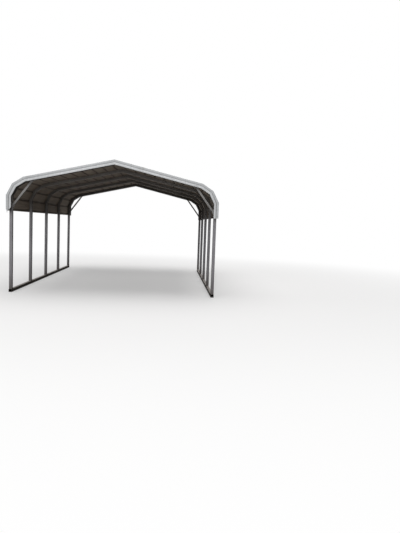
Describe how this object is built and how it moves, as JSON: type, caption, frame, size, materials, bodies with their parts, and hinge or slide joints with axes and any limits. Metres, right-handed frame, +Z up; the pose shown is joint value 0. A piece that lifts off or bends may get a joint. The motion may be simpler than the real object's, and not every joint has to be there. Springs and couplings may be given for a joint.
{
  "type": "carport",
  "caption": "Open carport of bent square steel tube on ground rails, with a low ridged roof of corrugated sheet, short skirts, knee braces and folded end trims.",
  "frame": {"origin": "on the ground at the middle of the carport's plan, between the undersides of the two rails", "axes": "+Z up; +Y along the ridge from the open front at -Y to the open rear; +X across, to the right when looking in from the front"},
  "size_m": [4.3218, 6.4658, 2.7899],
  "materials": {
    "tube_steel": "dull galvanised square tube, mottled, with light dust near the ground",
    "brace_steel": "dull galvanised tube",
    "roof_sheet": "zinc coated sheet, weathered, dusty brown grey on the underside",
    "trim_sheet": "zinc coated folded sheet, pale and slightly streaked"
  },
  "bodies": {
    "root": {"base_rail_left": "tube_steel", "base_rail_right": "tube_steel", "leg_pins_left": "tube_steel", "leg_pins_right": "tube_steel", "leg_left_1": "tube_steel", "leg_left_2": "tube_steel", "leg_left_3": "tube_steel", "leg_left_4": "tube_steel", "leg_left_5": "tube_steel", "leg_right_1": "tube_steel", "leg_right_2": "tube_steel", "leg_right_3": "tube_steel", "leg_right_4": "tube_steel", "leg_right_5": "tube_steel", "roof_bow_1": "tube_steel", "roof_bow_2": "tube_steel", "roof_bow_3": "tube_steel", "roof_bow_4": "tube_steel", "roof_bow_5": "tube_steel", "knee_brace_front_left": "brace_steel", "knee_brace_front_right": "brace_steel", "knee_brace_rear_left": "brace_steel", "knee_brace_rear_right": "brace_steel", "roof_sheet_1": "roof_sheet", "roof_sheet_2": "roof_sheet", "roof_sheet_3": "roof_sheet", "roof_sheet_4": "roof_sheet", "roof_sheet_5": "roof_sheet", "roof_sheet_6": "roof_sheet", "end_trim_front_left": "trim_sheet", "end_trim_front_right": "trim_sheet", "end_trim_rear_left": "trim_sheet", "end_trim_rear_right": "trim_sheet"}
  },
  "joints": []
}
